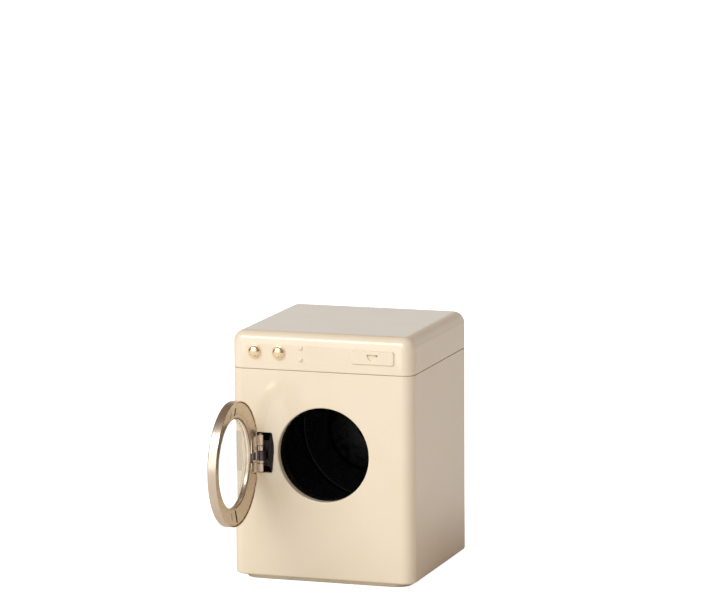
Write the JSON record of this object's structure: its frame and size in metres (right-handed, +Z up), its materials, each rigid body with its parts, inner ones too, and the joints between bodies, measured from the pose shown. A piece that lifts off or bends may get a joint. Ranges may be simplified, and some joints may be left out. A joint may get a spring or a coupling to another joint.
{
  "type": "toy washing machine",
  "caption": "Small pressed-metal toy washing machine with a hinged porthole door, a drum that turns and two control dials.",
  "frame": {"origin": "middle of the cabinet on the flat underside of its foot", "axes": "+Z up, -Y out of the front with the porthole, +X to the right of someone looking at the front"},
  "size_m": [0.0976, 0.1722, 0.13],
  "materials": {
    "cream_enamel": "smooth cream enamel, soft gloss",
    "champagne_metal": "champagne coloured satin metal",
    "gold_metal": "polished pale gold",
    "black_plastic": "black, fine satin",
    "bright_steel": "plain bright steel",
    "dark_steel": "blackened steel",
    "clear_plastic": "clear, polished"
  },
  "bodies": {
    "cabinet": {"cabinet_wrap": "cream_enamel", "top_cap": "cream_enamel", "base_pan": "cream_enamel", "front_moulding": "black_plastic", "hinge_bracket": "dark_steel", "upper_bracket_screw": "bright_steel", "lower_bracket_screw": "bright_steel", "hinge_pin": "bright_steel", "hinge_spacer": "champagne_metal", "hinge_washer": "champagne_metal", "dial_left_washer": "bright_steel", "dial_right_washer": "bright_steel", "rear_bush": "black_plastic", "rear_ring_nut": "bright_steel"},
    "door": {"door_ring": "champagne_metal", "door_plate": "champagne_metal", "door_pane": "clear_plastic", "door_hinge_block": "champagne_metal", "hinge_detent_leaf": "bright_steel", "hinge_block_rivet": "dark_steel"},
    "left_dial": {"dial_left": "gold_metal", "dial_left_clip": "bright_steel"},
    "right_dial": {"dial_right": "gold_metal", "dial_right_clip": "bright_steel"},
    "drum": {"drum_cup": "black_plastic", "drum_front_ring": "black_plastic", "drum_lifter_1": "black_plastic", "drum_lifter_2": "black_plastic", "drum_lifter_3": "black_plastic", "drum_spindle": "bright_steel", "thrust_washer": "bright_steel", "drum_cap_nut": "gold_metal", "rear_knob": "champagne_metal", "knob_screw": "bright_steel"}
  },
  "joints": [
    {"name": "door_hinge", "type": "hinge", "parent": "cabinet", "child": "door", "pos_m": [-0.03288, -0.04785, 0.0674], "axis": [0, 0, 1], "range_deg": [-15, 90]},
    {"name": "drum_spin", "type": "hinge", "parent": "cabinet", "child": "drum", "pos_m": [0.0008, 0, 0.0674], "axis": [0, 1, 0], "continuous": true},
    {"name": "dial_left_turn", "type": "hinge", "parent": "cabinet", "child": "left_dial", "pos_m": [-0.0358, -0.04785, 0.1196], "axis": [0, 1, 0], "continuous": true},
    {"name": "dial_right_turn", "type": "hinge", "parent": "cabinet", "child": "right_dial", "pos_m": [-0.0228, -0.04785, 0.1196], "axis": [0, 1, 0], "continuous": true}
  ]
}
